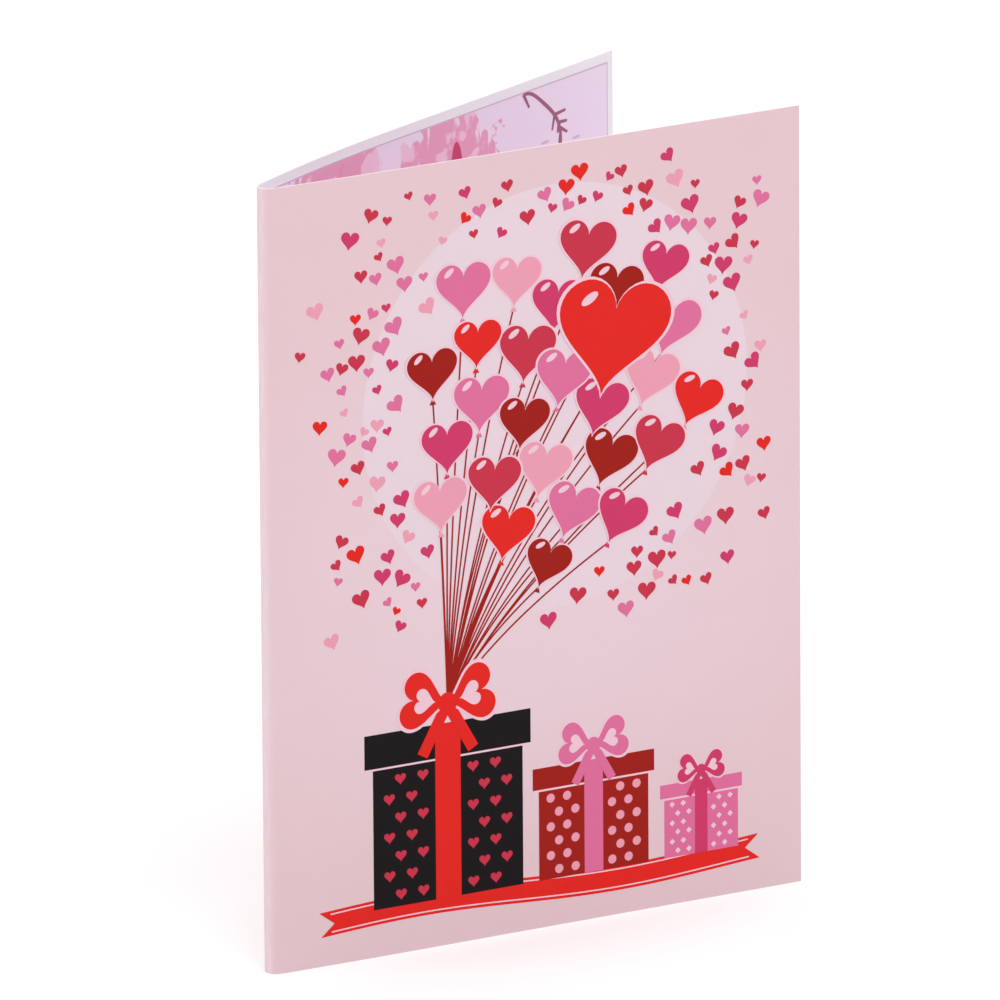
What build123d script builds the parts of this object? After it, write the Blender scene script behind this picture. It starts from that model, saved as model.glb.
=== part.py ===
from build123d import *
import os
from dataclasses import dataclass
from math import atan2, cos, degrees, radians, sin, sqrt

# A pop-up greeting card that stands part open on the lower edges of its two leaves. It is a folded cover, a
# smaller folded liner glued inside it, and three die-cut sheets, each folded like a tent and glued to the
# liner by two tabs. Millimetres and degrees, +Z up, the spine upright at -X, the front leaf towards -Y.

# Cover
card_height = 200.0
leaf_width = 150.0
cover_thickness = 0.4
fold_radius = 2.4

# How far each leaf stands from the card's mid plane, and how it bows beside the spine
front_lean_angle = 12.0
front_bow_turn = 1.5
front_bow_length = 40.0
back_lean_angle = 11.5
back_bow_turn = 7.0
back_bow_length = 55.0

# Liner
liner_thickness = 0.2
liner_margin = 2.4
glue_film = 0.05

# Pop-up sheets
sheet_thickness = 0.3
ridge_width = 0.7
tab_width = 10.0
tab_taper = 2.5
sheet_foot = 6.0
top_clearance = 28.0
ridge_setback = 14.0

# Large heart on a stem, the tent beside the spine
heart_glue_distance = 16.0
heart_wall = 34.0
heart_base_height = 36.0
heart_side_clearance = 3.0
stem_width = 8.0
leaf_heart_size = 17.0
leaf_heart_height = 84.0
leaf_heart_turn = 60.0
leaf_heart_sink = 1.5

# Heart balloons, the tent in the middle
balloon_tab_gap = 9.0
balloon_wall = 54.0
balloon_base_height = 30.0
balloon_size = 25.0
ridge_balloons = [(18.0, 101.0), (13.5, 142.0)]
edge_balloons = [(14.5, 85.0), (16.0, 123.0)]
string_width = 2.0
string_foot = 9.0

# Gift box, the outermost tent
box_tab_gap = 11.0
box_height = 44.0
bow_loop_size = 22.0
bow_sink = 1.5
bow_knot_radius = 5.0
bow_tail_width = 5.0
bow_tail_spread = 12.0
box_heart_size = 20.0
box_heart_lift = 6.0
box_hearts = 2

# Shape of a heart one unit wide: two round lobes, then a slightly bowed side to the tip
lobe_radius_ratio = 0.265
lobe_offset_ratio = 0.235
lobe_end_angle = -30.0
tip_depth_ratio = 0.71

# How far the shapes of one blank run into each other
overlap = 3.0

# Each tent's tabs lie beyond the tabs of the one inside it
balloon_glue_distance = heart_glue_distance + balloon_tab_gap + tab_width
box_glue_distance = balloon_glue_distance + box_tab_gap + tab_width


@dataclass
class Leaf:
    """One leaf in plan: its half of the spine fold, a gentle bow, then a straight run to the free edge."""

    side: int
    lean: float
    bow_turn: float
    bow_length: float

    def line(self, offset, reach):
        """Edges from the spine to a reach along the leaf, offset outwards from the cover's inner face."""
        fold_turn = 90 - self.lean - self.bow_turn
        fold_length = radians(fold_turn) * fold_radius
        bow_radius = self.bow_length / radians(self.bow_turn)
        fold = JernArc(
            (-fold_radius - offset, 0), (0, self.side), fold_radius + offset, -self.side * fold_turn
        )
        bow = JernArc(fold @ 1, fold % 1, bow_radius + offset, -self.side * self.bow_turn)
        run = Line(bow @ 1, bow @ 1 + (bow % 1) * (reach - fold_length - self.bow_length))
        return [fold, bow, run]

    def point(self, offset, distance):
        """Point at a distance from the spine along the leaf's line at an offset."""
        line = Wire(self.line(offset, leaf_width))
        return line.position_at(distance, position_mode=PositionMode.LENGTH)


back = Leaf(1, back_lean_angle, back_bow_turn, back_bow_length)
front = Leaf(-1, front_lean_angle, front_bow_turn, front_bow_length)


def folded_sheet(inner, outer, reach, foot, top):
    """A sheet folded at the spine, between two offsets from the cover's inner face."""
    edges = []
    ends = []
    for leaf in (back, front):
        inside = leaf.line(inner, reach)
        outside = leaf.line(outer, reach)
        edges += inside + outside
        ends.append(Line(inside[-1] @ 1, outside[-1] @ 1))
    section = make_face(edges + ends)
    return Pos(0, 0, foot) * extrude(section, top - foot)


def heart(size):
    """A heart of a given width, drawn about the middle of its lobes, tip down."""
    centre = size * lobe_offset_ratio
    radius = size * lobe_radius_ratio
    notch = (0, sqrt(radius**2 - centre**2))
    side = (centre + radius * cos(radians(lobe_end_angle)), radius * sin(radians(lobe_end_angle)))
    lobe = ThreePointArc(notch, (centre, radius), side)
    half = lobe + TangentArc(side, (0, -size * tip_depth_ratio), tangent=lobe % 1)
    return make_face(half + mirror(half, Plane.YZ))


def strip(start, end, width):
    """A straight strip between two points of a flat sheet."""
    run = Vector(end) - Vector(start)
    middle = (Vector(start) + Vector(end)) / 2
    turn = degrees(atan2(run.Y, run.X))
    return Pos(middle) * Rot(0, 0, turn) * Rectangle(run.length + width, width)


def base_strip(wall, height):
    """The lower strip of a tent's flat blank: two walls, the ridge, and a tapered tab at each end."""
    half = wall + ridge_width / 2
    end = half + tab_width
    foot = sheet_foot
    top = sheet_foot + height
    tab = Polygon(
        (half - overlap, foot),
        (half, foot),
        (end, foot + tab_taper),
        (end, top - tab_taper),
        (half, top),
        (half - overlap, top),
        align=None,
    )
    walls = Pos(0, (foot + top) / 2) * Rectangle(2 * half, height)
    return walls + tab + mirror(tab, Plane.YZ)


def tent(blank, glue_distance, wall):
    """Folds a flat blank along its tabs and ridge, with its tabs on the liner's faces."""
    face = -2 * glue_film - liner_thickness
    glue = [leaf.point(face, glue_distance) for leaf in (back, front)]
    inward = [leaf.point(face, glue_distance - tab_width) for leaf in (back, front)]
    tab_ends = [
        corner + (end - corner).normalized() * tab_width for corner, end in zip(glue, inward)
    ]
    across = (glue[0] - glue[1]).normalized()
    half_gap = (glue[0] - glue[1]).length / 2
    outward = Vector(across.Y, -across.X)
    rise = sqrt(wall**2 - (half_gap - ridge_width / 2) ** 2)
    ridge = (glue[0] + glue[1]) / 2 + outward * rise
    half_ridge = across * (ridge_width / 2)
    corners = [tab_ends[0], glue[0], ridge + half_ridge, ridge - half_ridge, glue[1], tab_ends[1]]
    half = wall + ridge_width / 2
    stops = [-half - tab_width, -half, -ridge_width / 2, ridge_width / 2, half, half + tab_width]
    plates = []
    for left, right, start, end in zip(stops, stops[1:], corners, corners[1:]):
        window = Pos((left + right) / 2, 0) * Rectangle(right - left, 4 * card_height)
        along = (end - start).normalized()
        wall_plane = Plane(start, x_dir=along, z_dir=along.cross(Vector(0, 0, 1)))
        plates.append(extrude(wall_plane * Pos(-left, 0) * (blank & window), sheet_thickness))
    return plates[0].fuse(*plates[1:])


def both_sides(shape):
    """A shape and its mirror image across the ridge."""
    return [shape, mirror(shape, Plane.YZ)]


def large_heart():
    """One large heart on a stem with two heart leaves, above a low strip."""
    size = 2 * (heart_wall - heart_side_clearance)
    height = card_height - top_clearance - size * lobe_radius_ratio
    base_top = sheet_foot + heart_base_height
    leaf_reach = leaf_heart_size * tip_depth_ratio
    leaf_root = Pos(stem_width / 2 - leaf_heart_sink, leaf_heart_height)
    leaf_place = leaf_root * Rot(0, 0, -leaf_heart_turn) * Pos(0, leaf_reach)
    blank = base_strip(heart_wall, heart_base_height)
    blank += Pos(0, height) * heart(size)
    blank += strip((0, base_top), (0, height - size * tip_depth_ratio), stem_width)
    for shape in both_sides(leaf_place * heart(leaf_heart_size)):
        blank += shape
    return tent(blank, heart_glue_distance, heart_wall)


def balloons():
    """Heart balloons on strings that gather at the ridge, above a low strip."""
    foot = (string_foot, sheet_foot + balloon_base_height - overlap)
    places = ridge_balloons + [(balloon_wall - inset, height) for inset, height in edge_balloons]
    blank = base_strip(balloon_wall, balloon_base_height)
    for across, height in places:
        tip = (across, height - balloon_size * tip_depth_ratio + overlap)
        for shape in both_sides(Pos(across, height) * heart(balloon_size)):
            blank += shape
        for shape in both_sides(strip(foot, tip, string_width)):
            blank += shape
    return tent(blank, balloon_glue_distance, balloon_wall)


def gift_box():
    """A box seen at its corner: plain walls, a bow on the ridge, and hearts along the rim."""
    wall = leaf_width - ridge_setback - box_glue_distance
    rim = sheet_foot + box_height
    knot = (0, rim + bow_loop_size * (lobe_offset_ratio + lobe_radius_ratio) - bow_sink)
    loop = Pos(knot) * Rot(0, 0, -90) * Pos(0, bow_loop_size * tip_depth_ratio) * heart(bow_loop_size)
    tail = strip(knot, (bow_tail_spread, rim), bow_tail_width)
    blank = base_strip(wall, box_height) + Pos(knot) * Circle(bow_knot_radius)
    for shape in both_sides(loop) + both_sides(tail):
        blank += shape
    bow_reach = bow_loop_size * (tip_depth_ratio + lobe_radius_ratio)
    heart_pitch = (wall - bow_reach) / box_hearts
    for number in range(box_hearts):
        place = Pos(bow_reach + heart_pitch * (number + 0.5), rim + box_heart_lift)
        for shape in both_sides(place * heart(box_heart_size)):
            blank += shape
    return tent(blank, box_glue_distance, wall)


cover = folded_sheet(0, cover_thickness, leaf_width, 0, card_height)
liner = folded_sheet(
    -glue_film - liner_thickness,
    -glue_film,
    leaf_width - liner_margin,
    liner_margin,
    card_height - liner_margin,
)
nodes = {
    "cover": cover,
    "liner": liner,
    "popup_heart": large_heart(),
    "popup_balloons": balloons(),
    "popup_gift_box": gift_box(),
}

# The origin is under the middle of the cover's box, on the surface that the card stands on
middle = cover.bounding_box().center()
os.makedirs("parts", exist_ok=True)
for name, shape in nodes.items():
    export_step(Pos(-middle.X, -middle.Y, 0) * shape, f"parts/{name}.step")
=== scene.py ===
# %% [markdown]
# A pop-up card is sheets of card and paper, folded, glued and printed. The imported model holds them at
# their real sizes, so the work here is their finish: smooth folds, pale cut edges, ink and paper grain.
# We load that model first and read its box, so that the dressed card stays as large as it is.

# %% Load the card
import math

import bmesh
import bpy
import numpy as np
from mathutils import Matrix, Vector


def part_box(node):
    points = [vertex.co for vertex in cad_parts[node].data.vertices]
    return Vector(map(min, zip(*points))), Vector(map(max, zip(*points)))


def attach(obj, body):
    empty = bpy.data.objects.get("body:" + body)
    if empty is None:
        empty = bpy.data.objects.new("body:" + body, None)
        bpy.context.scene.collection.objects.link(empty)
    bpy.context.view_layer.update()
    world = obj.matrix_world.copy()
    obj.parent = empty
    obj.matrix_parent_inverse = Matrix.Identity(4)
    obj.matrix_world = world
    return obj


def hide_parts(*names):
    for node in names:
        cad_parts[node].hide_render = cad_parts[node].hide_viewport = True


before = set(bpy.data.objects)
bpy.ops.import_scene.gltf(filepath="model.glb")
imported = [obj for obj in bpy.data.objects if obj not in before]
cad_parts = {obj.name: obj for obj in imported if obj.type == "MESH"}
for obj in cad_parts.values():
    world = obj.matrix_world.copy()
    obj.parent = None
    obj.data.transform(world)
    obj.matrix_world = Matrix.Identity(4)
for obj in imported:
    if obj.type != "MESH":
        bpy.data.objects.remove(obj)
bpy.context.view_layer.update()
scene = bpy.context.scene
scene.view_settings.view_transform = "Standard"
mm = 0.001

# %% [markdown]
# Seen from above the card is a V with a round tip. Each leaf starts on a small circle, the spine fold,
# goes on along a very wide circle where the card bows, and ends in a straight run. One function gives any
# point of a leaf from its distance along the sheet and its offset from the cover's inner face, and it
# places everything that lies on the card, such as the liner and the ink.

# %% Plan of the two leaves
card_height = 200.0
leaf_width = 150.0
cover_thickness = 0.4
fold_radius = 2.4
liner_thickness = 0.2
liner_margin = 2.4
glue_film = 0.05
front_leaf = {"side": -1, "lean": math.radians(12.0), "turn": math.radians(1.5), "bow": 40.0}
back_leaf = {"side": 1, "lean": math.radians(11.5), "turn": math.radians(7.0), "bow": 55.0}


def plan(leaf, distance, offset):
    """Point in plan, in millimetres from the spine's axis. The heading turns from straight across the
    spine by the distance over the fold's radius, then over the bow's radius, and then stays. The point is
    the sum of the fold's arc, the bow's arc, the straight run and the offset along the normal."""
    fold_turn = math.pi / 2 - leaf["lean"] - leaf["turn"]
    fold_length = fold_turn * fold_radius
    bow_radius = leaf["bow"] / leaf["turn"]
    in_fold = np.clip(distance, 0, fold_length) / fold_radius
    in_bow = np.clip(distance - fold_length, 0, leaf["bow"]) / bow_radius
    run = np.maximum(distance - fold_length - leaf["bow"], 0)
    after_fold = math.pi / 2 - in_fold
    heading = after_fold - in_bow
    x = -fold_radius * np.sin(after_fold) + bow_radius * (np.sin(after_fold) - np.sin(heading))
    y = fold_radius * np.cos(after_fold) + bow_radius * (np.cos(heading) - np.cos(after_fold))
    x = x + run * np.cos(heading) - offset * np.sin(heading)
    y = y + run * np.sin(heading) + offset * np.cos(heading)
    return x, leaf["side"] * y


cover_low, cover_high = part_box("cover")
spine_x = cover_low[0] / mm + fold_radius + cover_thickness
spine_y = cover_high[1] / mm - plan(back_leaf, leaf_width, cover_thickness)[1]


def on_card(leaf, distance, height, offset):
    """Points of the card in metres, in the card's own frame, as an array with a last axis of three."""
    x, y = plan(leaf, distance, offset)
    return np.stack(np.broadcast_arrays(x + spine_x, y + spine_y, height), axis=-1) * mm


print("cover box", cover_low, cover_high)

# %% [markdown]
# The photograph was taken from far away with a long lens, from the front leaf's left and a little above.
# The camera's direction and distance were fitted to the card's edges that show.

# %% Camera
camera_azimuth = math.radians(-41.19)
camera_elevation = math.radians(16.83)
camera_roll = math.radians(-0.395)
camera_distance = 5.065
camera_lens = 741.9
aim_right = 3.41 * mm
aim_up = 5.72 * mm
card_middle = np.array([0.0, 0.0, card_height * mm / 2])


def direction(azimuth, elevation):
    """Unit vector towards an azimuth from the front and an elevation above the floor."""
    flat = math.cos(elevation)
    return np.array([math.sin(azimuth) * flat, -math.cos(azimuth) * flat, math.sin(elevation)])


def add_object(name, data):
    """Puts a camera, lamp or mesh into the scene, at the origin."""
    thing = bpy.data.objects.new(name, data)
    scene.collection.objects.link(thing)
    return thing


def place_looking(thing, eye, backward, roll=0.0):
    """Puts a camera or lamp at a point, with its back to a direction, rolled about the line of sight."""
    level_right = np.cross([0.0, 0.0, 1.0], backward)
    level_right /= np.linalg.norm(level_right)
    level_up = np.cross(backward, level_right)
    right = level_right * math.cos(roll) + level_up * math.sin(roll)
    pose = np.eye(4)
    pose[:3, :3] = np.stack([right, np.cross(backward, right), backward], axis=1)
    pose[:3, 3] = eye
    thing.matrix_world = Matrix(pose.tolist())
    return level_right, level_up


camera_data = bpy.data.cameras.new("camera")
camera_data.lens = camera_lens
camera_data.sensor_width = 36.0
camera_data.clip_end = 50.0
camera = add_object("camera", camera_data)
scene.camera = camera
sight = direction(camera_azimuth, camera_elevation)
level_right, level_up = place_looking(camera, card_middle, sight, camera_roll)
aim = card_middle + aim_right * level_right + aim_up * level_up
place_looking(camera, aim + camera_distance * sight, sight, camera_roll)
print("camera at", tuple(camera.matrix_world.translation))

# %% [markdown]
# A material is a small net of nodes, and so is the world. The helpers here name the few kinds of node
# that the card needs, so that a finish further down reads like a formula.

# %% Node helpers


def feed(tree, socket, value):
    """Links an output to a socket, or sets a plain number, place or colour on it."""
    if isinstance(value, bpy.types.NodeSocket):
        tree.links.new(value, socket)
    else:
        socket.default_value = value


def add_node(tree, kind, values=(), **settings):
    """Adds a node with its settings. Values are pairs of a socket's name or number and what goes into
    it. Returns the node's outputs."""
    node = tree.nodes.new(kind)
    for title, setting in settings.items():
        setattr(node, title, setting)
    for title, value in values:
        feed(tree, node.inputs[title], value)
    return node.outputs


def reckon(tree, operation, *values):
    """One step of arithmetic."""
    return add_node(tree, "ShaderNodeMath", enumerate(values), operation=operation)["Value"]


def reckon_places(tree, operation, *values, result="Vector"):
    """One step of arithmetic on places, or on colours taken as places."""
    return add_node(tree, "ShaderNodeVectorMath", enumerate(values), operation=operation)[result]


def rise(tree, value, given, result=(0.0, 1.0), easing="SMOOTHSTEP"):
    """Carries a value from a given range to another, and holds it at both ends."""
    titles = ("Value", "From Min", "From Max", "To Min", "To Max")
    values = zip(titles, (value, *given, *result))
    return add_node(tree, "ShaderNodeMapRange", values, interpolation_type=easing)["Result"]


def mix(tree, factor, under, over):
    """A colour that goes from the one under to the one over as the factor goes from nought to one."""
    values = zip(("Factor", "A", "B"), (factor, under, over))
    return add_node(tree, "ShaderNodeMix", values, data_type="RGBA")["Result"]


def noise(tree, where, scale, detail):
    """Soft noise about one half, whose features are about one over the scale in size."""
    values = zip(("Vector", "Scale", "Detail"), (where, scale, detail))
    return add_node(tree, "ShaderNodeTexNoise", values)["Fac"]


def on_sheet(tree):
    """The place on a flat sheet, in metres: the distance from its fold, then the height."""
    return add_node(tree, "ShaderNodeUVMap", uv_map="sheet")["UV"]


def noise_on_sheet(tree, across, up, detail):
    """Soft noise on a flat sheet, with its own number of features to the metre across and up."""
    where = reckon_places(tree, "MULTIPLY", on_sheet(tree), (across, up, 1.0))
    return noise(tree, where, 1.0, detail)


print("node helpers ready")

# %% [markdown]
# A plain studio: one broad lamp from the front, weaker ones from the sides and from behind, and an even
# white world. The lamps stand far off, so that the light hardly falls away over the card, and their
# strengths are set so that a colour renders about as it is written.

# %% Studio
lamp_distance = 3.0
world_falling = 0.36
world_seen = 1.0


def any_seeing_ray(tree):
    """One where the camera, a reflection or a clear material looks, nought for the light that falls."""
    path = add_node(tree, "ShaderNodeLightPath")
    seen = reckon(tree, "MAXIMUM", path["Is Camera Ray"], path["Is Glossy Ray"])
    return reckon(tree, "MAXIMUM", seen, path["Is Transmission Ray"])


def add_lamp(name, azimuth, elevation, size, power):
    """A square soft lamp that faces the card's middle."""
    data = bpy.data.lights.new(name, "AREA")
    data.shape = "SQUARE"
    data.size = size
    data.energy = power
    towards = direction(math.radians(azimuth), math.radians(elevation))
    place_looking(add_object(name, data), card_middle + lamp_distance * towards, towards)


world = bpy.data.worlds.new("studio")
scene.world = world
world.use_nodes = True
tree = world.node_tree
sky = tree.nodes["Background"].inputs
sky["Color"].default_value = (1.0, 1.0, 1.0, 1.0)
strength = rise(tree, any_seeing_ray(tree), (0.0, 1.0), (world_falling, world_seen), "LINEAR")
feed(tree, sky["Strength"], strength)
add_lamp("key", azimuth=-20.0, elevation=50.0, size=2.4, power=46.0)
add_lamp("fill", azimuth=50.0, elevation=35.0, size=2.2, power=18.0)
add_lamp("spine", azimuth=-112.0, elevation=25.0, size=1.9, power=26.0)
add_lamp("mouth", azimuth=100.0, elevation=32.0, size=1.7, power=12.0)
add_lamp("back", azimuth=165.0, elevation=40.0, size=2.2, power=30.0)
print("lamps", sorted(light.name for light in bpy.data.lights))

# %% [markdown]
# The floor takes the card's shadow. It glows a little where it is seen, so that it reads as white paper.

# %% Floor
floor_half = 6.0
floor_grey = (0.85, 0.85, 0.85, 1.0)
floor_glow = 0.2
corners = np.array([[-1, -1, 0], [1, -1, 0], [1, 1, 0], [-1, 1, 0]]) * floor_half
mesh = bpy.data.meshes.new("floor")
mesh.from_pydata(corners.tolist(), [], [(0, 1, 2, 3)])
floor = add_object("floor", mesh)
floor_paper = bpy.data.materials.new("floor_paper")
floor_paper.use_nodes = True
mesh.materials.append(floor_paper)
tree = floor_paper.node_tree
tree.nodes.remove(tree.nodes["Principled BSDF"])
paper = add_node(tree, "ShaderNodeBsdfDiffuse", [("Color", floor_grey)])
glow = reckon(tree, "MULTIPLY", any_seeing_ray(tree), floor_glow)
shine = add_node(tree, "ShaderNodeEmission", [("Strength", glow)])
both = add_node(tree, "ShaderNodeAddShader", enumerate([paper[0], shine[0]]))
feed(tree, tree.nodes["Material Output"].inputs["Surface"], both[0])
print("floor", 2 * floor_half, "m wide")

# %% [markdown]
# Colours are written as they look on screen, from 0 to 255, and turned into the linear values that
# Blender reckons with. The card and the liner come first, then the inks and the dyed papers.

# %% Colours


def linear(red, green, blue):
    """Screen colour to linear: a power of 2.4 above a short straight toe."""
    screen = np.array([red, green, blue]) / 255
    bright = ((screen + 0.055) / 1.055) ** 2.4
    return (*np.where(screen > 0.04045, bright, screen / 12.92).tolist(), 1.0)


pink_card = linear(230, 198, 205)
lilac_card = linear(233, 206, 215)
# Painted shade: the darker pink that the cover's foot is mixed towards.
shaded_foot_card = linear(227, 198, 204)
inside_card = linear(238, 235, 240)
paper_core = linear(245, 226, 232)
liner_core = linear(222, 200, 214)
lilac_ground = linear(235, 219, 238)
wash_pink = linear(230, 160, 191)
wash_pale = linear(239, 196, 218)
wash_deep = linear(201, 70, 115)
inks = {
    "bright_red": linear(227, 38, 32),
    "dark_red": linear(158, 28, 20),
    "crimson": linear(200, 52, 74),
    "magenta": linear(206, 58, 104),
    "rose": linear(222, 112, 156),
    "blush": linear(236, 158, 178),
    "pale_rose": linear(240, 200, 214),
    "moon": linear(233, 211, 221),
    "black": linear(16, 11, 14),
    "plum": linear(160, 97, 126),
    "mauve_and_edge_shadow": linear(214, 186, 210),
    "deep_wash": wash_deep,
}
print("inks", len(inks))

# %% [markdown]
# All paper has the same two faults that make it look real: a fine tooth of fibres, and a slow cloudiness
# in its colour. They go into one node group, which each material places with its own strengths.

# %% Paper grain, as a node group
fibre_scale = 3500.0
fibre_detail = 3.0
cloud_scale = 60.0
cloud_detail = 4.0
roughness_spread = 0.08
tooth_depth = 0.1 * mm


def make_grain_group():
    """Fine noise for the fibres gives the height, and slow noise for the clouds the roughness. Both
    noises, less one, times the cloudiness, plus one, give a factor for the colour."""
    group = bpy.data.node_groups.new("paper_grain", "ShaderNodeTree")
    sockets = group.interface
    for way in ("INPUT", "OUTPUT"):
        sockets.new_socket(name="Colour", in_out=way, socket_type="NodeSocketColor")
    for title, way in (("Cloudiness", "INPUT"), ("Height", "OUTPUT"), ("Roughness", "OUTPUT")):
        sockets.new_socket(name=title, in_out=way, socket_type="NodeSocketFloat")
    given = group.nodes.new("NodeGroupInput").outputs
    result = group.nodes.new("NodeGroupOutput").inputs
    where = add_node(group, "ShaderNodeTexCoord")["Object"]
    fibre = noise(group, where, fibre_scale, fibre_detail)
    cloud = noise(group, where, cloud_scale, cloud_detail)
    centred = reckon(group, "SUBTRACT", reckon(group, "ADD", fibre, cloud), 1.0)
    factor = reckon(group, "MULTIPLY_ADD", centred, given["Cloudiness"], 1.0)
    feed(group, result["Colour"], reckon_places(group, "MULTIPLY", given["Colour"], factor))
    feed(group, result["Height"], fibre)
    feed(group, result["Roughness"], cloud)
    return group


paper_grain = make_grain_group()


def paper_material(name, colour, roughness, cloudiness=0.03, bump=0.05, gloss=0.3):
    """Paper or ink of one colour, with the shared grain. Returns the material and its grain node."""
    material = bpy.data.materials.new(name)
    material.use_nodes = True
    tree = material.node_tree
    shader = tree.nodes["Principled BSDF"].inputs
    grain = tree.nodes.new("ShaderNodeGroup")
    grain.node_tree = paper_grain
    grain.inputs["Colour"].default_value = colour
    grain.inputs["Cloudiness"].default_value = cloudiness
    values = [("Strength", bump), ("Distance", tooth_depth), ("Height", grain.outputs["Height"])]
    relief = add_node(tree, "ShaderNodeBump", values)
    spread = (roughness - roughness_spread, roughness + roughness_spread)
    feed(tree, shader["Base Color"], grain.outputs["Colour"])
    feed(tree, shader["Roughness"], rise(tree, grain.outputs["Roughness"], (0.0, 1.0), spread, "LINEAR"))
    feed(tree, shader["Normal"], relief["Normal"])
    shader["Specular IOR Level"].default_value = gloss
    return material, grain


print("grain group", paper_grain.name, "nodes", len(paper_grain.nodes))

# %% [markdown]
# The cover is one sheet of card. Its outside is printed all over in pink that turns a little lilac
# towards the middle of each leaf, and painted shade darkens it towards the foot. Along the spine the
# print has cracked a little with the fold, and the paler core shows through; this pale band is also a
# painted highlight on the fold's lit side. The inside shows only as a narrow border, and the cut edges
# show the core. The print could be painted on an image, but a distance on the flat sheet needs none.

# %% Card finishes
lilac_middle = (75.0 * mm, 90.0 * mm, 0.0)
lilac_reach = (20.0 * mm, 110.0 * mm)
shade_foot_reach = (70.0 * mm, 0.0)
crack_and_highlight_reach = (1.8 * mm, 0.2 * mm)
crack_and_highlight_noise = (1400.0, 140.0, 3.0)
crack_and_highlight_range = (0.35, 0.65)
crack_and_highlight_shares = (0.25, 0.55)
cover_outside, grain = paper_material("cover_outside", pink_card, roughness=0.5)
tree = cover_outside.node_tree
on_leaf = reckon_places(tree, "ABSOLUTE", on_sheet(tree))
away = reckon_places(tree, "DISTANCE", on_leaf, lilac_middle, result="Value")
ground = mix(tree, rise(tree, away, lilac_reach), lilac_card, pink_card)
leaf_place = add_node(tree, "ShaderNodeSeparateXYZ", [("Vector", on_leaf)])
# Painted shade: the pink darkens towards the foot of each leaf.
ground = mix(tree, rise(tree, leaf_place["Y"], shade_foot_reach), ground, shaded_foot_card)
# Pale band along the spine: worn cracks that show the core, and a painted highlight on the fold's lit
# side.
cracks_and_highlight = rise(tree, noise_on_sheet(tree, *crack_and_highlight_noise), crack_and_highlight_range, crack_and_highlight_shares)
worn_and_highlit = reckon(tree, "MULTIPLY", rise(tree, leaf_place["X"], crack_and_highlight_reach), cracks_and_highlight)
feed(tree, grain.inputs["Colour"], mix(tree, worn_and_highlit, ground, paper_core))
cover_inside = paper_material("cover_inside", inside_card, roughness=0.6)[0]
cut_edge = paper_material("cut_edge", paper_core, roughness=0.8)[0]
print("card finishes", cover_outside.name, cover_inside.name, cut_edge.name)

# %% [markdown]
# A sheet could be modelled by hand, but whole arrays of points and faces are quicker and exact. Points
# that coincide are merged afterwards, so that each piece is a closed shell.

# %% Mesh helpers


def crowd(start, end, spacing):
    """Even values from start up to, but not including, end, no further apart than the spacing."""
    count = math.ceil(abs(end - start) / spacing)
    return np.linspace(start, end, count, endpoint=False)


def pairs(across, up):
    """Flat points from their distances across and up, as an array with a last axis of two."""
    return np.stack(np.broadcast_arrays(across, up), axis=-1)


def add_mesh(name, points, faces, materials, indices=None):
    """A mesh object at the origin, from whole arrays of points, faces and material numbers."""
    mesh = bpy.data.meshes.new(name)
    mesh.from_pydata(points.tolist(), [], faces.tolist())
    for material in materials:
        mesh.materials.append(material)
    if indices is not None:
        mesh.polygons.foreach_set("material_index", indices)
    return add_object(name, mesh)


def close_shells(mesh, merge_distance=1e-7):
    """Merges coinciding points, drops faces that have no area and turns the rest outwards."""
    work = bmesh.new()
    work.from_mesh(mesh)
    bmesh.ops.remove_doubles(work, verts=work.verts, dist=merge_distance)
    bmesh.ops.dissolve_degenerate(work, edges=work.edges, dist=merge_distance)
    bmesh.ops.recalc_face_normals(work, faces=work.faces)
    work.to_mesh(mesh)
    work.free()


print("mesh helpers ready")

# %% [markdown]
# A folded sheet is its own thin cross-section, carried along the V in plan: a closed loop that goes up
# the outside, over the top edge, down the inside and back under the foot. The stations along the V crowd
# together in the fold, so that it stays round. A Solidify modifier could thicken a plain sheet too, but
# here the offset comes from the plan, so that every layer of the card nests in the next.

# %% Folded sheets
fold_spacing = 0.25
leaf_spacing = 2.0
row_spacing = 2.0
fold_reach = 4.0
smooth_angle = math.radians(35)


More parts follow.
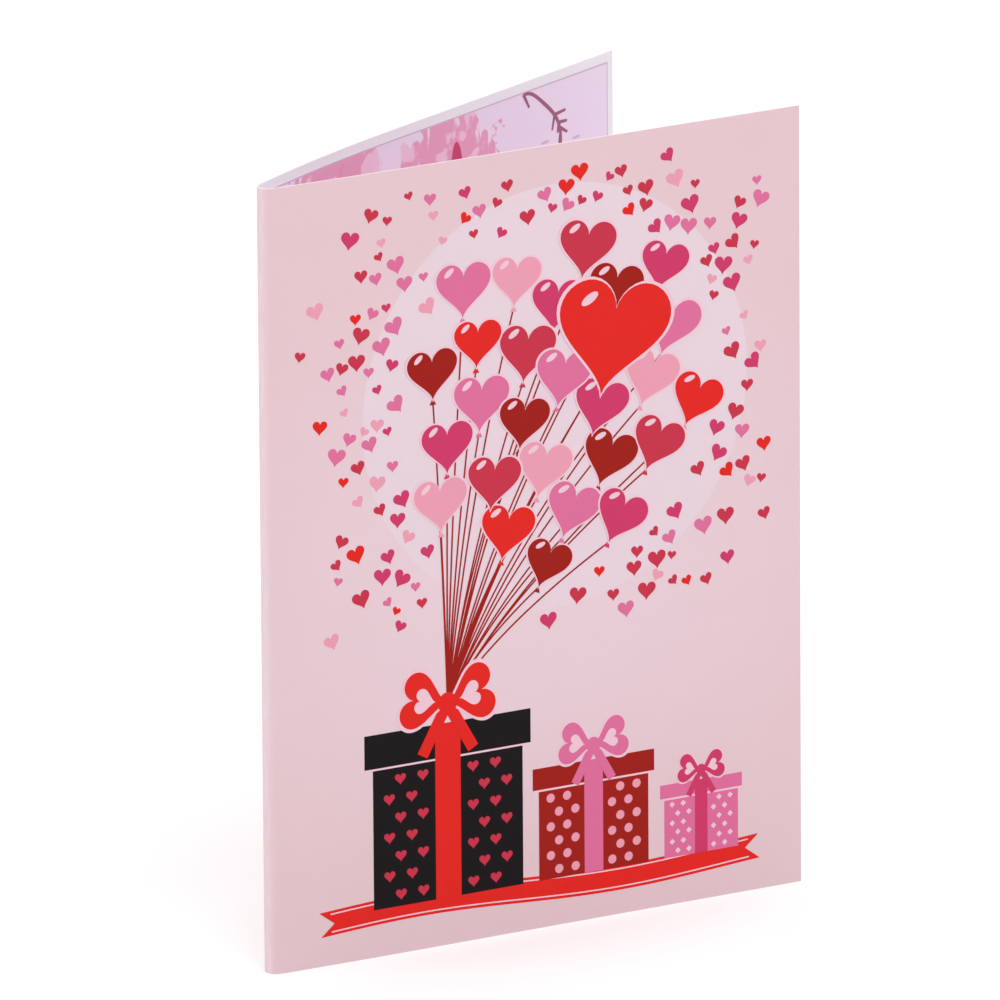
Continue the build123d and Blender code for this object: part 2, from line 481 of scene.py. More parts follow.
def folded_sheet(name, offsets, reach, heights, finishes, node, wash=None):
    """A sheet folded at the spine, between two offsets and two heights: a grid of stations along the V by
    the loop's points, with each free edge closed by faces between the outside and the inside. A wash is a
    function of signed distance and height, kept on the points."""
    inner, outer = offsets
    half = np.concatenate([
        crowd(0, fold_reach, fold_spacing),
        crowd(fold_reach, reach, leaf_spacing),
        [reach],
    ])
    rows = np.append(crowd(*heights, row_spacing), heights[1])
    loop_heights = np.concatenate([rows, rows[::-1]])
    loop_offsets = np.repeat([outer, inner], len(rows))
    points = np.concatenate([
        on_card(front_leaf, half[:0:-1, None], loop_heights, loop_offsets),
        on_card(back_leaf, half[:, None], loop_heights, loop_offsets),
    ])
    stations, loop = points.shape[:2]
    number = np.arange(stations * loop).reshape(stations, loop)
    ahead = np.roll(number, -1, axis=1)
    walls = np.stack([number[:-1], number[1:], ahead[1:], ahead[:-1]], axis=-1)
    pair = np.arange(len(rows) - 1)
    far = loop - 1 - pair
    free = number[[0, -1]]
    caps = np.stack([free[:, pair], free[:, pair + 1], free[:, far - 1], free[:, far]], axis=-1)
    faces = np.concatenate([walls.reshape(-1, 4), caps.reshape(-1, 4)])
    outside, inside, edge = range(3)
    kind = np.full((stations - 1, loop), edge)
    kind[:, : len(rows) - 1] = outside
    kind[:, len(rows) : loop - 1] = inside
    indices = np.concatenate([kind.ravel(), np.full(2 * len(pair), edge)])
    piece = add_mesh(name, points.reshape(-1, 3), faces, finishes, indices)
    mesh = piece.data
    signed = np.concatenate([-half[:0:-1], half])[:, None]
    flat = pairs(signed, loop_heights).reshape(-1, 2)
    corners = np.empty(len(mesh.loops), dtype=np.int32)
    mesh.loops.foreach_get("vertex_index", corners)
    mesh.uv_layers.new(name="sheet").data.foreach_set("uv", (flat[corners] * mm).ravel())
    if wash:
        mesh.attributes.new("wash", "FLOAT", "POINT").data.foreach_set("value", wash(*flat.T))
    close_shells(mesh)
    mesh.shade_smooth()
    mesh.set_sharp_from_angle(angle=smooth_angle)
    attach(piece, "root")
    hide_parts(node)
    print(name, "faces", len(mesh.polygons))


folded_sheet(
    "cover_sheet", (0.0, cover_thickness), leaf_width, (0.0, card_height),
    [cover_outside, cover_inside, cut_edge], "cover",
)

# %% [markdown]
# The liner is a thinner sheet, printed with soft washes of pink on lilac. How deep a point lies in a wash
# is worked out once, as a smooth field over the sheet. The shader breaks that field up with noise, and so
# the washes get ragged, watery edges, bare streaks at their rims and deep pink in their hearts.

# %% Liner with its washes
washes = np.array([
    [36, 187, 20], [82, 175, 25], [128, 146, 22], [40, 134, 23], [92, 112, 26], [54, 80, 22],
    [128, 84, 20], [26, 50, 18], [96, 44, 24], [52, 22, 18], [136, 24, 18], [-34, 172, 22],
    [-82, 152, 26], [-124, 176, 20], [-114, 112, 24], [-48, 110, 24], [-84, 72, 24], [-130, 56, 18],
    [-38, 48, 22], [-94, 22, 20],
], dtype=float)
liner_reach = leaf_width - liner_margin
liner_foot = liner_margin
liner_top = card_height - liner_margin
liner_face = -glue_film - liner_thickness
rag_noise = (160.0, 160.0, 5.0)
patch_noise = (95.0, 95.0, 3.0)
streak_noise = (420.0, 70.0, 3.0)
wet_range = (0.0, 0.035)
patch_range = (0.53, 0.57)
streak_range = (0.54, 0.6)
rim_range = (0.3, 0.1)
deep_range = (0.62, 0.9)


def wash_depth(distance, height):
    """One minus the distance over the radius, for the wash in which the point lies deepest."""
    middle = washes[:, None, :2]
    away = np.hypot(distance - middle[..., 0], height - middle[..., 1])
    return (1 - away / washes[:, 2:]).max(axis=0)


liner_inside, grain = paper_material("liner_inside", lilac_ground, roughness=0.65)
tree = liner_inside.node_tree
depth = add_node(tree, "ShaderNodeAttribute", attribute_name="wash")["Fac"]
ragged = reckon(tree, "SUBTRACT", reckon(tree, "ADD", depth, noise_on_sheet(tree, *rag_noise)), 0.5)
patches = rise(tree, noise_on_sheet(tree, *patch_noise), patch_range)
streaks = rise(tree, noise_on_sheet(tree, *streak_noise), streak_range)
bare = reckon(tree, "MULTIPLY", streaks, rise(tree, ragged, rim_range))
tone = mix(tree, patches, wash_pink, wash_pale)
tone = mix(tree, bare, tone, lilac_ground)
tone = mix(tree, rise(tree, ragged, deep_range), tone, wash_deep)
tone = mix(tree, rise(tree, ragged, wet_range), lilac_ground, tone)
feed(tree, grain.inputs["Colour"], tone)
liner_back = paper_material("liner_back", inside_card, roughness=0.7)[0]
liner_edge = paper_material("liner_edge", liner_core, roughness=0.8)[0]
folded_sheet(
    "liner_sheet", (liner_face, -glue_film), liner_reach, (liner_foot, liner_top),
    [liner_back, liner_inside, liner_edge], "liner", wash_depth,
)

# %% [markdown]
# Printing ink stands on the card in a very thin film, so each printed shape is made as a closed film that
# follows the sheet, no more than a quarter of a millimetre above it. A later colour lies a few steps
# higher than an earlier one, as a press prints one after the other. An image would print it all at once,
# but a film stays sharp however close we look. Shapes with a middle, such as hearts and discs, are rings
# about it, and bands and panels are plain grids.

# %% Ink films
press_step = 0.008
film_sink = 0.02


def film_faces(rows, columns, ringed):
    """Faces of one film: a top grid, the same grid below it, and a wall along the outline. A ringed grid
    has its outline in its last row alone."""
    number = np.arange(rows * columns).reshape(rows, columns)
    corners = [number[:-1, :-1], number[:-1, 1:], number[1:, 1:], number[1:, :-1]]
    top = np.stack(corners, axis=-1).reshape(-1, 4)
    sides = [number[0, :-1], number[:-1, -1], number[-1, :0:-1], number[:0:-1, 0], number[0, :1]]
    outline = number[-1] if ringed else np.concatenate(sides)
    below = rows * columns
    wall = np.stack([outline[:-1], outline[1:], outline[1:] + below, outline[:-1] + below], axis=-1)
    return np.concatenate([top, top[:, ::-1] + below, wall])


def add_film(name, layers, ink, carry):
    """One piece of all the films of an ink. A layer is an array of flat grids, their steps above the
    sheet and whether they are ringed, and carry puts flat points with a lift onto the sheet."""
    points = []
    faces = []
    total = 0
    for flat, steps, ringed in layers:
        count, rows, columns = flat.shape[:3]
        lift = np.broadcast_to(press_step * np.asarray(steps), count)[:, None, None]
        both = [carry(flat, lift), carry(flat, np.full(lift.shape, -film_sink))]
        start = total + 2 * rows * columns * np.arange(count)[:, None, None]
        faces.append((film_faces(rows, columns, ringed) + start).reshape(-1, 4))
        points.append(np.stack(both, axis=1).reshape(-1, 3))
        total += 2 * rows * columns * count
    piece = add_mesh(name, np.concatenate(points), np.concatenate(faces), [ink])
    close_shells(piece.data)
    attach(piece, "root")
    print(name, "faces", len(piece.data.polygons))


def lay(films, ink, flat, steps, ringed=False):
    """Adds films of an ink to a sheet's print."""
    films.setdefault(ink, []).append((flat, steps, ringed))


def print_sheet(name, films, carry):
    """Makes one film piece for each ink of a print. Ink fills the paper's tooth and shines less."""
    for ink, layers in films.items():
        title = f"{name}_ink_{ink}"
        finish = paper_material(title, inks[ink], roughness=0.6, cloudiness=0.04, bump=0.03, gloss=0.12)
        add_film(title, layers, finish[0], carry)


print("press step", press_step, "mm")

# %% [markdown]
# Every picture on this card is put together from few shapes: hearts, discs, strips along a curve and
# panels. Each is drawn flat, and the hearts and discs are one unit wide.

# %% Flat shapes


def rings(outline, count):
    """A closed outline drawn towards its middle in even steps, as a grid of rings."""
    closed = np.concatenate([outline, outline[:1]])
    return np.linspace(0, 1, count + 1)[:, None, None] * closed


def heart_outline(count, samples=721):
    """A heart one unit wide: the sine's cube across, and 13, 5, 2 and 1 parts of four cosines up, with
    its points at even lengths from the notch down both sides to the tip."""
    turn = np.linspace(0, math.pi, samples)
    waves = 13 * np.cos(turn) - 5 * np.cos(2 * turn) - 2 * np.cos(3 * turn) - np.cos(4 * turn)
    curve = pairs(np.sin(turn) ** 3 / 2, waves / 32)
    length = np.append(0, np.cumsum(np.linalg.norm(np.diff(curve, axis=0), axis=1)))
    even = np.interp(np.linspace(0, length[-1], count // 2 + 1), length, turn)
    half = pairs(np.interp(even, turn, curve[:, 0]), np.interp(even, turn, curve[:, 1]))
    return np.concatenate([half, half[-2:0:-1] * (-1.0, 1.0)])


def circle_outline(count):
    """A circle one unit wide."""
    turn = np.linspace(0, 2 * math.pi, count, endpoint=False)
    return pairs(np.sin(turn), np.cos(turn)) / 2


def panel(left, right, foot, top, spacing=4.0):
    """A flat upright rectangle as a grid."""
    across = np.append(crowd(left, right, spacing), right)
    return pairs(across, [[foot], [top]])[None]


heart_shape = rings(heart_outline(56), 2)
small_heart = rings(heart_outline(20), 1)
spot_shape = rings(circle_outline(24), 1)
glint_shape = spot_shape * (0.2, 0.09)
triangle_shape = rings(circle_outline(3), 1)
diamond_shape = rings(circle_outline(4), 1)
print("heart", heart_shape.shape, "small heart", small_heart.shape)

# %% [markdown]
# A shape is drawn once and then turned, sized and moved to all its places at once. Lines, such as the
# balloons' strings, are strips that follow a curve.

# %% Placing and strips


def place(shape, centres, sizes, turns):
    """A flat grid turned, sized and moved to each of the centres."""
    centres = np.atleast_2d(centres)
    sizes = np.broadcast_to(sizes, len(centres))[:, None, None]
    turns = np.radians(np.broadcast_to(turns, len(centres)))[:, None, None]
    across = shape[..., 0] * np.cos(turns) - shape[..., 1] * np.sin(turns)
    up = shape[..., 0] * np.sin(turns) + shape[..., 1] * np.cos(turns)
    return pairs(across * sizes, up * sizes) + centres[:, None, None]


def stamp(films, ink, steps, shape, centres, sizes, turns=0.0):
    """Adds films of a ringed shape at each of the centres to a sheet's print."""
    lay(films, ink, place(shape, centres, sizes, turns), steps, ringed=True)


def bezier(controls, count):
    """Bezier curves: the sum of the control points, each weighted by its Bernstein polynomial."""
    controls = np.asarray(controls)
    degree = controls.shape[-2] - 1
    share = np.linspace(0, 1, count)[:, None]
    power = np.arange(degree + 1)
    weight = np.array([math.comb(degree, each) for each in power])
    return (weight * share**power * (1 - share) ** (degree - power)) @ controls


def strips(paths, widths):
    """Flat strips: each point of a path moved both ways along the path's normal by half the width."""
    along = np.gradient(paths, axis=1)
    along = along / np.linalg.norm(along, axis=-1, keepdims=True)
    normal = pairs(-along[..., 1], along[..., 0])
    half = np.broadcast_to(widths, paths.shape[:2])[..., None, None] / 2
    return paths[:, :, None] + half * [[-1.0], [1.0]] * normal[:, :, None]


def mirrored(places):
    """Places given for one side of an upright middle line, with their mirror images on the other."""
    places = np.atleast_2d(places)
    return np.concatenate([places, places * (-1.0, 1.0)])


print("placing ready")

# %% [markdown]
# The cover's picture is a bunch of heart balloons in front of a pale disc. Balloon number n sits at n
# golden angles about the bunch's middle, at a distance that grows with the square root of n, which
# spreads them evenly. Each has a pale rim, a fill, a small highlight and a tied end below its tip.
# Neighbours overlap, so their numbers, counted in nines, give each its own level in the print.

# %% Balloons and their disc
bunch = np.array([81.0, 136.0])
bunch_radius = 43.0
disc_size = 108.0
balloon_count = 27
balloon_range = (14.0, 17.5)
fill_inks = ["rose", "dark_red", "magenta", "crimson", "blush", "bright_red"]
balloon_levels = 9
lowest_level = 10
level_step = 1.8
fill_step = 0.6
glint_step = 1.2
fill_share = 0.93
lean_share = 0.55
glint_turn = 42.0
glint_shift = 0.25
glint_lift = 0.9
tied_end_size = 2.2
tied_end_drop = 0.3
tied_end_level = 9.5
gift_foot = 12.2
knot = np.array([50.0, gift_foot + 50.0])
golden_angle = math.pi * (3 - math.sqrt(5))
chance = np.random.default_rng(14)
cover_ink = {}


def golden(count, inner, outer):
    """Points at golden angles, spread evenly over the ring between two radii."""
    order = np.arange(count) + 0.5
    radius = np.sqrt(inner**2 + (outer**2 - inner**2) * order / count)
    turn = order * golden_angle
    return radius[:, None] * pairs(np.cos(turn), np.sin(turn))


stamp(cover_ink, "moon", 1, rings(circle_outline(96), 16), bunch, disc_size)
balloons = bunch + golden(balloon_count, 0.0, bunch_radius)
balloon_sizes = chance.uniform(*balloon_range, balloon_count)
from_knot = balloons - knot
lean = np.degrees(np.arctan2(-from_knot[:, 0], from_knot[:, 1])) * lean_share
tilt = np.radians(lean)
downward = pairs(np.sin(tilt), -np.cos(tilt))
aside = pairs(-np.cos(tilt), -np.sin(tilt))
tips = balloons + 0.5 * balloon_sizes[:, None] * downward
tied_ends = tips + tied_end_drop * tied_end_size * downward
glints = balloons + glint_shift * balloon_sizes[:, None] * (aside - glint_lift * downward)
levels = lowest_level + level_step * (np.arange(balloon_count)[::-1] % balloon_levels)
stamp(cover_ink, "pale_rose", levels, heart_shape, balloons, balloon_sizes, lean)
fills = place(heart_shape, balloons, balloon_sizes * fill_share, lean)
ties = place(triangle_shape, tied_ends, tied_end_size, lean)
for number, ink in enumerate(fill_inks):
    these = slice(number, None, len(fill_inks))
    lay(cover_ink, ink, fills[these], levels[these] + fill_step, ringed=True)
    lay(cover_ink, ink, ties[these], tied_end_level, ringed=True)
stamp(cover_ink, "pale_rose", levels + glint_step, glint_shape, glints, balloon_sizes, lean + glint_turn)
print("balloons", balloon_count, "highest step", levels.max() + glint_step)

# %% [markdown]
# One balloon is much larger than the rest and is printed last, so that it lies over its neighbours.

# %% Large heart
large_place = np.array([97.0, 151.0])
large_size = 33.6
large_fill = 0.945 * large_size
large_lean = -12.0
large_level = 27
large_glint = large_place + (-6.4, 8.4)
large_shine = 26.0
shine_lean = large_lean + glint_turn
stamp(cover_ink, "pale_rose", large_level, heart_shape, large_place, large_size, large_lean)
stamp(cover_ink, "bright_red", large_level + 1, heart_shape, large_place, large_fill, large_lean)
stamp(cover_ink, "pale_rose", large_level + 2, glint_shape, large_glint, large_shine, shine_lean)
print("large heart", large_size, "mm wide")

# %% [markdown]
# Each balloon has a string. It leaves the balloon's tip, bends as a Bezier curve of three points and ends
# under the bow of the largest box, where all the strings meet. Each ends a hair lower than the one
# before, so that no two films share an edge.

# %% Strings
string_width = 0.42
string_points = 25
string_level = 7
string_rise = 0.08
bend_shares = (0.3, 0.5)
end_step = 0.02
string_order = np.arange(balloon_count)
bends = knot + (tips - knot) * bend_shares
string_ends = knot - np.outer(string_order, [0.0, end_step])
paths = bezier(np.stack([tips, bends, string_ends], axis=1), string_points)
lay(cover_ink, "dark_red", strips(paths, string_width), string_level + string_rise * string_order)
print("strings", len(paths))

# %% [markdown]
# Small hearts drift round the bunch like confetti. They thin out away from it, and none comes near the
# card's edges or the boxes, or lies on a balloon, a string or an earlier heart.

# %% Confetti
confetti_count = 900
confetti_near = 47.0
confetti_far = 92.0
confetti_fade = 24.0
confetti_drift = 1.5
confetti_low = (9.0, 78.0)
confetti_high = (141.0, 193.0)
confetti_level = 3
confetti_range = (2.4, 5.2)
confetti_turn = 38.0
string_room = 3.8
confetti_shares = {"crimson": 0.3, "magenta": 0.2, "rose": 0.25, "blush": 0.13, "bright_red": 0.12}


def gaps(places, others):
    """Distances from each place to each of the others."""
    return np.linalg.norm(places[:, None] - others, axis=-1)


confetti = golden(confetti_count, confetti_near, confetti_far)
confetti = confetti + chance.normal(0.0, confetti_drift, confetti.shape)
from_rim = np.hypot(*confetti.T) - confetti_near
confetti = confetti + bunch
kept = np.all((confetti > confetti_low) & (confetti < confetti_high), axis=1)
kept &= chance.uniform(size=confetti_count) < np.exp(-((from_rim / confetti_fade) ** 2))
confetti_sizes = chance.uniform(*confetti_range, confetti_count)
kept &= np.all(gaps(confetti, paths.reshape(-1, 2)) > string_room, axis=1)
kept &= np.all(gaps(confetti, balloons) > 0.5 * (confetti_sizes[:, None] + balloon_sizes), axis=1)
near = gaps(confetti, confetti) < 0.5 * (confetti_sizes[:, None] + confetti_sizes)
kept &= ~np.any(np.tril(near & kept, -1), axis=1)
confetti = confetti[kept]
confetti_sizes = confetti_sizes[kept]
confetti_turns = chance.uniform(-confetti_turn, confetti_turn, len(confetti))
confetti_inks = chance.choice(list(confetti_shares), len(confetti), p=list(confetti_shares.values()))
for ink in confetti_shares:
    these = confetti_inks == ink
    chosen = (confetti[these], confetti_sizes[these], confetti_turns[these])
    stamp(cover_ink, ink, confetti_level, small_heart, *chosen)
print("confetti hearts", len(confetti))

# %% [markdown]
# Three gift boxes stand at the foot of the picture on a flat ribbon. A box is a panel with a small motif
# in staggered rows, a wider lid, an upright band and a bow, whose loops are hearts on their sides with
# their tips at the knot. All its parts are shares of its width and height, so that one function draws all
# three. The panel runs up a little under the lid, so that the two films share no edge.

# %% Gift boxes


def staggered(nearest, furthest, foot, top, pitch):
    """Places beside a middle line, in level rows from foot to top. Every other row starts half a pitch
    further out, and no place lies beyond the furthest."""
    heights = np.linspace(foot, top, round((top - foot) / (0.8 * pitch)) + 1)
    shift = 0.5 * pitch * (np.arange(len(heights)) % 2)
    across = np.arange(nearest, furthest, pitch) + shift[:, None]
    places = pairs(across, heights[:, None]).reshape(-1, 2)
    return places[places[:, 0] < furthest]


def lay_gift(centre, width, height, wrap, band, line, motif, motif_ink):
    """Prints a gift box with its foot on the ribbon. The motif keeps clear of the edges and the band."""
    top = gift_foot + height
    lid = top - 0.2 * height
    half = 0.5 * width
    over = 0.555 * width
    half_band = 0.085 * width
    half_line = 0.25
    tail_width = 0.075 * width
    knot_size = 0.13 * width
    loop_size = 0.36 * width
    pitch = 0.15 * width
    bow = np.array([centre, top + 0.12 * width])
    turns = np.array([-78.0, 78.0])
    reach = 0.5 * loop_size * pairs(-np.sin(np.radians(turns)), np.cos(np.radians(turns)))
    tail_ends = bow + np.array([[-0.17, -0.3], [0.17, -0.3]]) * width
    tails = bow + (tail_ends[:, None] - bow) * np.linspace(0, 1, 5)[None, :, None]
    sides = (half_band + 0.55 * pitch, half - 0.35 * pitch)
    spots = mirrored(staggered(*sides, gift_foot + 0.5 * pitch, lid - 0.5 * pitch, pitch))
    stamp(cover_ink, motif_ink, 3, motif, spots + (centre, 0.0), 0.5 * pitch)
    for ink, beside, low, high, steps in (
        (wrap, half, gift_foot, lid + half_line, 2),
        (wrap, over, lid, top, 2.5),
        (line, over, lid - half_line, lid + half_line, 3),
        (band, half_band, gift_foot, top, 4),
    ):
        lay(cover_ink, ink, panel(centre - beside, centre + beside, low, high), steps)
    lay(cover_ink, band, strips(tails, tail_width), [9, 10])
    for ink, share, pull, steps in ((line, 1.08, 1.0, 11), (band, 0.96, 1.0, 12), (line, 0.42, 0.9, 13)):
        stamp(cover_ink, ink, steps, heart_shape, bow + reach * pull, loop_size * share, turns)
    stamp(cover_ink, band, 14, spot_shape, bow, knot_size)


lay_gift(knot[0], 42.0, 45.0, "black", "bright_red", "pale_rose", small_heart, "crimson")
lay_gift(91.0, 31.0, 29.0, "dark_red", "rose", "pale_rose", spot_shape, "blush")
lay_gift(121.5, 21.0, 19.0, "rose", "magenta", "pale_rose", diamond_shape, "pale_rose")
print("gift boxes on the ribbon at", gift_foot)

# %% [markdown]
# The ribbon is a strip along a slow wave. Its ends are cut in a swallow's tail: the strip has a middle
# line of points too, and near both ends that line is pulled inwards. A thin pale line runs along each
# selvedge.

# %% Ribbon
ribbon_start = 14.0
ribbon_length = 124.0
ribbon_height = 10.6
ribbon_wave = 1.2
ribbon_turn = 2.2 * math.pi
ribbon_width = 6.4
notch = 4.0
notch_reach = 10.0
selvedge = 0.9
selvedge_width = 0.35
ribbon_points = 41
span = np.linspace(0, 1, ribbon_points)
wave = ribbon_height + ribbon_wave * np.sin(ribbon_turn * span)
ribbon_path = pairs(ribbon_start + ribbon_length * span, wave)[None]
ribbon = strips(ribbon_path, ribbon_width)
ribbon = np.stack([ribbon[:, :, 0], ribbon.mean(axis=2), ribbon[:, :, 1]], axis=2)
from_end = ribbon_length * np.minimum(span, 1 - span)
ribbon[:, :, 1, 0] += notch * np.clip(1 - from_end / notch_reach, 0, 1) * np.sign(0.5 - span)
lay(cover_ink, "bright_red", ribbon, steps=1)
selvedges = strips(ribbon_path, ribbon_width - 2 * selvedge)[0, 1:-1].swapaxes(0, 1)
lay(cover_ink, "pale_rose", strips(selvedges, selvedge_width), steps=1.5)
print("ribbon", ribbon.shape, "selvedges", selvedges.shape)

# %% [markdown]
# The picture is still flat. Printing it means carrying its points onto the front leaf's outside, with the
# same plan that shaped the leaf, and making one piece of each ink.

# %% Print the cover


def on_front_cover(flat, lift):
    """Flat points of the front leaf's outside, at a lift above the card."""
    return on_card(front_leaf, flat[..., 0], flat[..., 1], cover_thickness + lift)


print_sheet("cover", cover_ink, on_front_cover)

# %% [markdown]
# A plum arrow with a hooked head and a feathered tail is printed here and there over the liner's washes.
# Its shaft is a Bezier curve, and the feathers are short tapered strokes. One arrow is drawn about a
# middle of its own and then turned and moved to its places on both leaves.

# %% Arrows on the liner
shaft = [(-6.9, 8.9), (0.1, 9.6), (-3.1, 3.7), (13.4, 0.5), (7.8, -1.2), (7.8, -10.5), (8.1, -14.4)]
shaft_points = 41
shaft_width = 0.75 + 0.3 * np.sin(np.linspace(0.25, 2.9, shaft_points))
feather_width = [1.0, 0.7]
arrow_level = 2
stroke_step = 0.5
feathers = np.array([
    [(-7.0, 9.1), (-4.6, 5.2)],
    [(5.5, 1.0), (10.2, 1.4)], [(7.1, -1.3), (10.8, -1.5)], [(7.8, -2.7), (10.9, -4.5)],
    [(5.7, 0.9), (4.7, -2.8)], [(7.4, -1.5), (6.9, -3.9)], [(8.0, -4.6), (7.3, -8.4)],
])
arrow_places = np.array([
    [120, 188], [60, 152], [132, 118], [30, 100], [112, 70], [70, 52], [34, 24], [118, 20],
    [-56, 180], [-118, 150], [-74, 118], [-30, 84], [-112, 80], [-60, 44], [-124, 28],
], dtype=float)
arrow_turns = np.array([0, 130, 215, 20, 95, 300, 190, 45, 15, 200, 80, 330, 150, 250, 100])
liner_ink = {}
shafts = strips(bezier([shaft], shaft_points), shaft_width)
strokes = [*shafts, *strips(feathers, feather_width)]
for number, stroke in enumerate(strokes):
    arrows = place(stroke, arrow_places, 1.0, arrow_turns)
    lay(liner_ink, "plum", arrows, arrow_level + stroke_step * (len(strokes) - number))
print("arrows", len(arrow_places), "strokes in each", len(strokes))

# %% [markdown]
# Small lens-shaped smudges lie beside the arrows, and every other wash has a deep pink tongue at its
# heart. The thin line along the liner's edges is painted shadow of the step there: long panels that stop
# short of the fold.

# %% Smudges, tongues and painted edge shadow
smudge_size = 3.4
smudge_shift = (13.0, -6.0)
tongue_size = 15.5
tongue_shift = (4.0, 8.5)
tongue_turn = 2.0
edge_shadow_width = 0.35
spine_gap = 6.0
lens = rings(circle_outline(20), 1) * (1.0, 0.24)
smudges = np.concatenate([[[121.8, 182.8], [134.5, 181.3]], arrow_places[1:] + smudge_shift])
stamp(liner_ink, "mauve_and_edge_shadow", 1, lens, smudges, smudge_size)
tongue = rings(circle_outline(32), 1) * (0.3, 1.0)
stamp(liner_ink, "deep_wash", 1, tongue, washes[1::2, :2] + tongue_shift, tongue_size, tongue_turn)
# Painted shadow: thin mauve lines along the liner's edges, in the same ink as the smudges.
for side in (-1, 1):
    for foot in (liner_foot, liner_top - edge_shadow_width):
        edge_shadow_level = panel(side * spine_gap, side * liner_reach, foot, foot + edge_shadow_width)
        lay(liner_ink, "mauve_and_edge_shadow", edge_shadow_level, steps=2)
    edge_shadow_upright = panel(side * (liner_reach - edge_shadow_width), side * liner_reach, liner_foot, liner_top)
    lay(liner_ink, "mauve_and_edge_shadow", edge_shadow_upright, steps=1)


def on_liner(flat, lift):
    """Flat points of the liner's inside: distances from the spine, with the front leaf's below nought."""
    distance = np.abs(flat[..., 0])
    behind = on_card(back_leaf, distance, flat[..., 1], liner_face - lift)
    before = on_card(front_leaf, distance, flat[..., 1], liner_face - lift)
    return np.where(flat[..., :1] > 0, behind, before)


print_sheet("liner", liner_ink, on_liner)

# %% [markdown]
# The pop-up sheets are paper that is dyed through, cut out and folded like tents. Their solids have the
# right form already, so they keep it and only get their paper: rougher than the card, with more tooth and
# cloud.

# %% Pop-up papers
dyes = {"popup_heart": "bright_red", "popup_balloons": "rose", "popup_gift_box": "dark_red"}
for node, ink in dyes.items():
    dyed = paper_material(f"{node}_paper", inks[ink], roughness=0.75, cloudiness=0.06, bump=0.12)[0]
    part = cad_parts[node]
    part.data.materials.clear()
    part.data.materials.append(dyed)
print("dyed papers", list(dyes))

# %% [markdown]
# What is printed on a pop-up sheet is made as films again. A tent's blank is measured across from its
# ridge, and in plan it runs from the glue line on the back leaf to the ridge and on to the glue line on
# the front leaf. A function made for each tent carries flat points of its blank onto its two walls.

# %% Fold of a tent
ridge_width = 0.7


def along_leaf(leaf, offset, distance, samples=6001):
    """Point at a distance along a leaf's line at an offset, found on the line's running length."""
    x, y = plan(leaf, np.linspace(0, leaf_width, samples), offset)
    length = np.append(0, np.cumsum(np.hypot(np.diff(x), np.diff(y))))
    return np.array([np.interp(distance, length, x), np.interp(distance, length, y)])


def tent(glue_distance, wall):
    """Returns a function that carries points of a flat blank onto a tent whose two walls lean together
    from their glue lines to the ridge."""
    glue_face = liner_face - glue_film
    behind = along_leaf(back_leaf, glue_face, glue_distance)
    before = along_leaf(front_leaf, glue_face, glue_distance)
    gap = np.linalg.norm(behind - before)
    across = (behind - before) / gap
    half_ridge = across * ridge_width / 2
    rise_to_ridge = math.sqrt(wall**2 - ((gap - ridge_width) / 2) ** 2)
    ridge = (behind + before) / 2 + rise_to_ridge * np.array([across[1], -across[0]])
    corners = np.stack([behind, ridge + half_ridge, ridge - half_ridge, before])
    stops = np.array([-wall - ridge_width / 2, -ridge_width / 2, ridge_width / 2, wall + ridge_width / 2])
    runs = np.diff(corners, axis=0)
    runs = runs / np.linalg.norm(runs, axis=1, keepdims=True)

    def carry(flat, lift):
        """Point on the fold's line, moved out along the normal of the wall that it is on."""
        run = runs[np.where(flat[..., 0] < 0, 0, 2)]
        x = np.interp(flat[..., 0], stops, corners[:, 0]) - run[..., 1] * lift + spine_x
        y = np.interp(flat[..., 0], stops, corners[:, 1]) + run[..., 0] * lift + spine_y
        return np.stack([x, y, flat[..., 1]], axis=-1) * mm

    return carry


def lay_band(films, ink, near, far, foot, top, steps):
    """A straight band on both walls of a blank, between two distances from the ridge."""
    for side in (-1, 1):
        lay(films, ink, panel(side * near, side * far, foot, top), steps)


print("tents ready")

# %% [markdown]
# The tall heart beside the spine has pale hearts scattered over it and a bordered strip below. Its blank
# is symmetric about the ridge, so each place is given once and mirrored.

# %% Print on the tall heart
heart_glue = 16.0
heart_wall = 34.0
ridge_gap = 1.2
edge_gap = 1.0
heart_reach = heart_wall - edge_gap
heart_line = 1.2
print_level = 3
heart_ink = {}
scatter = np.array([
    [6.5, 158.0, 6.0], [16.0, 160.0, 7.5], [25.0, 152.0, 5.5], [9.0, 145.0, 7.0], [19.0, 146.0, 5.5],
    [12.0, 132.0, 6.0], [5.0, 122.0, 4.5], [8.0, 20.0, 6.0], [17.0, 20.0, 6.0], [26.0, 20.0, 6.0],
])
scatter_sizes = np.tile(scatter[:, 2], 2)
stamp(heart_ink, "pale_rose", print_level, small_heart, mirrored(scatter[:, :2]), scatter_sizes)
for foot in (9.0, 34.0):
    lay_band(heart_ink, "pale_rose", ridge_gap, heart_reach, foot, foot + heart_line, print_level)
print_sheet("popup_heart", heart_ink, tent(heart_glue, heart_wall))

# %% [markdown]
# Each balloon of the middle tent gets a printed heart with a pale rim and a highlight, inside its own cut
# edge. The strip below has a row of hearts between two lines.

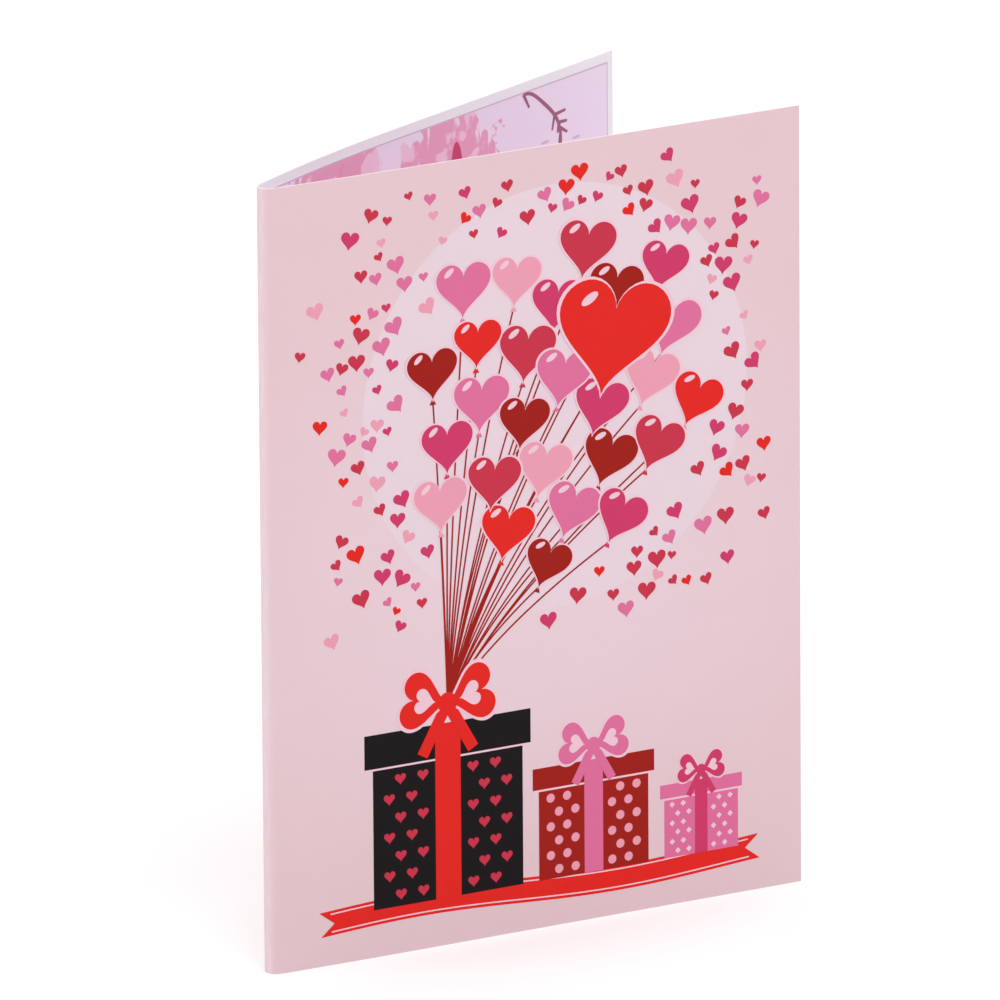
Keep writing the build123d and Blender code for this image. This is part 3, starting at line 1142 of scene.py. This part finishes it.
# %% Print on the balloons
balloon_glue = 35.0
balloon_wall = 54.0
balloon_reach = balloon_wall - edge_gap
balloon_size = 25.0
balloon_drop = np.array([0.0, 0.15]) * balloon_size
shine_shift = np.array([-0.17, 0.14]) * balloon_size
shine_size = 0.8 * balloon_size
rim_share = 0.84
inner_share = 0.76
row_size = 6.5
row_line = 1.0
balloon_ink = {}
pop_balloons = {
    "bright_red": (18.0, 101.0), "magenta": (13.5, 142.0), "crimson": (39.5, 85.0), "blush": (38.0, 123.0)
}
for ink, spot in pop_balloons.items():
    spots = mirrored(spot) - balloon_drop
    stamp(balloon_ink, "pale_rose", 2, heart_shape, spots, balloon_size * rim_share)
    stamp(balloon_ink, ink, 3, heart_shape, spots, balloon_size * inner_share)
    stamp(balloon_ink, "pale_rose", 4, glint_shape, spots + shine_shift, shine_size, glint_turn)
row = pairs(np.linspace(8.0, 48.0, 6), 21.0)
stamp(balloon_ink, "magenta", print_level, small_heart, mirrored(row), row_size)
for foot in (9.0, 32.0):
    lay_band(balloon_ink, "pale_rose", ridge_gap, balloon_reach, foot, foot + row_line, print_level)
print_sheet("popup_balloons", balloon_ink, tent(balloon_glue, balloon_wall))

# %% [markdown]
# The gift box is tied crosswise with a printed band, with small hearts above and below it and a line
# under the lid. The bow's loops and the hearts on the rim have rims and fills like the balloons.

# %% Print on the gift box
box_glue = 56.0
box_wall = 80.0
box_reach = box_wall - edge_gap
tie_gap = 0.9
half_tie = 7.0
tie_heights = (6.5, 49.5)
girth_heights = (24.0, 31.0)
lid_heights = (42.2, 42.8)
bow_size = 22.0
bow_height = 59.5
loop_reach = 0.57 * bow_size
bow_turns = [-90.0, 90.0]
rim_size = 16.6
rim_fill = 15.0
dot_size = 5.5
box_ink = {}
lay_band(box_ink, "rose", tie_gap, half_tie, *tie_heights, steps=4)
lay_band(box_ink, "rose", half_tie, box_reach, *girth_heights, steps=3)
lay_band(box_ink, "pale_rose", tie_gap, box_reach, *lid_heights, steps=5)
loops = mirrored((loop_reach, bow_height))
for ink, share, steps in (("pale_rose", rim_share, 2), ("rose", inner_share, 3), ("magenta", 0.36, 4)):
    stamp(box_ink, ink, steps, heart_shape, loops, bow_size * share, bow_turns)
rim_hearts = mirrored([(36.1, 53.2), (65.4, 53.2)])
stamp(box_ink, "pale_rose", 6, heart_shape, rim_hearts, rim_size)
stamp(box_ink, "bright_red", 7, heart_shape, rim_hearts, rim_fill)
dots = pairs(np.linspace(14.0, 74.0, 7), [[13.0], [37.0]]).reshape(-1, 2)
stamp(box_ink, "blush", print_level, small_heart, mirrored(dots), dot_size)
print_sheet("popup_gift_box", box_ink, tent(box_glue, box_wall))
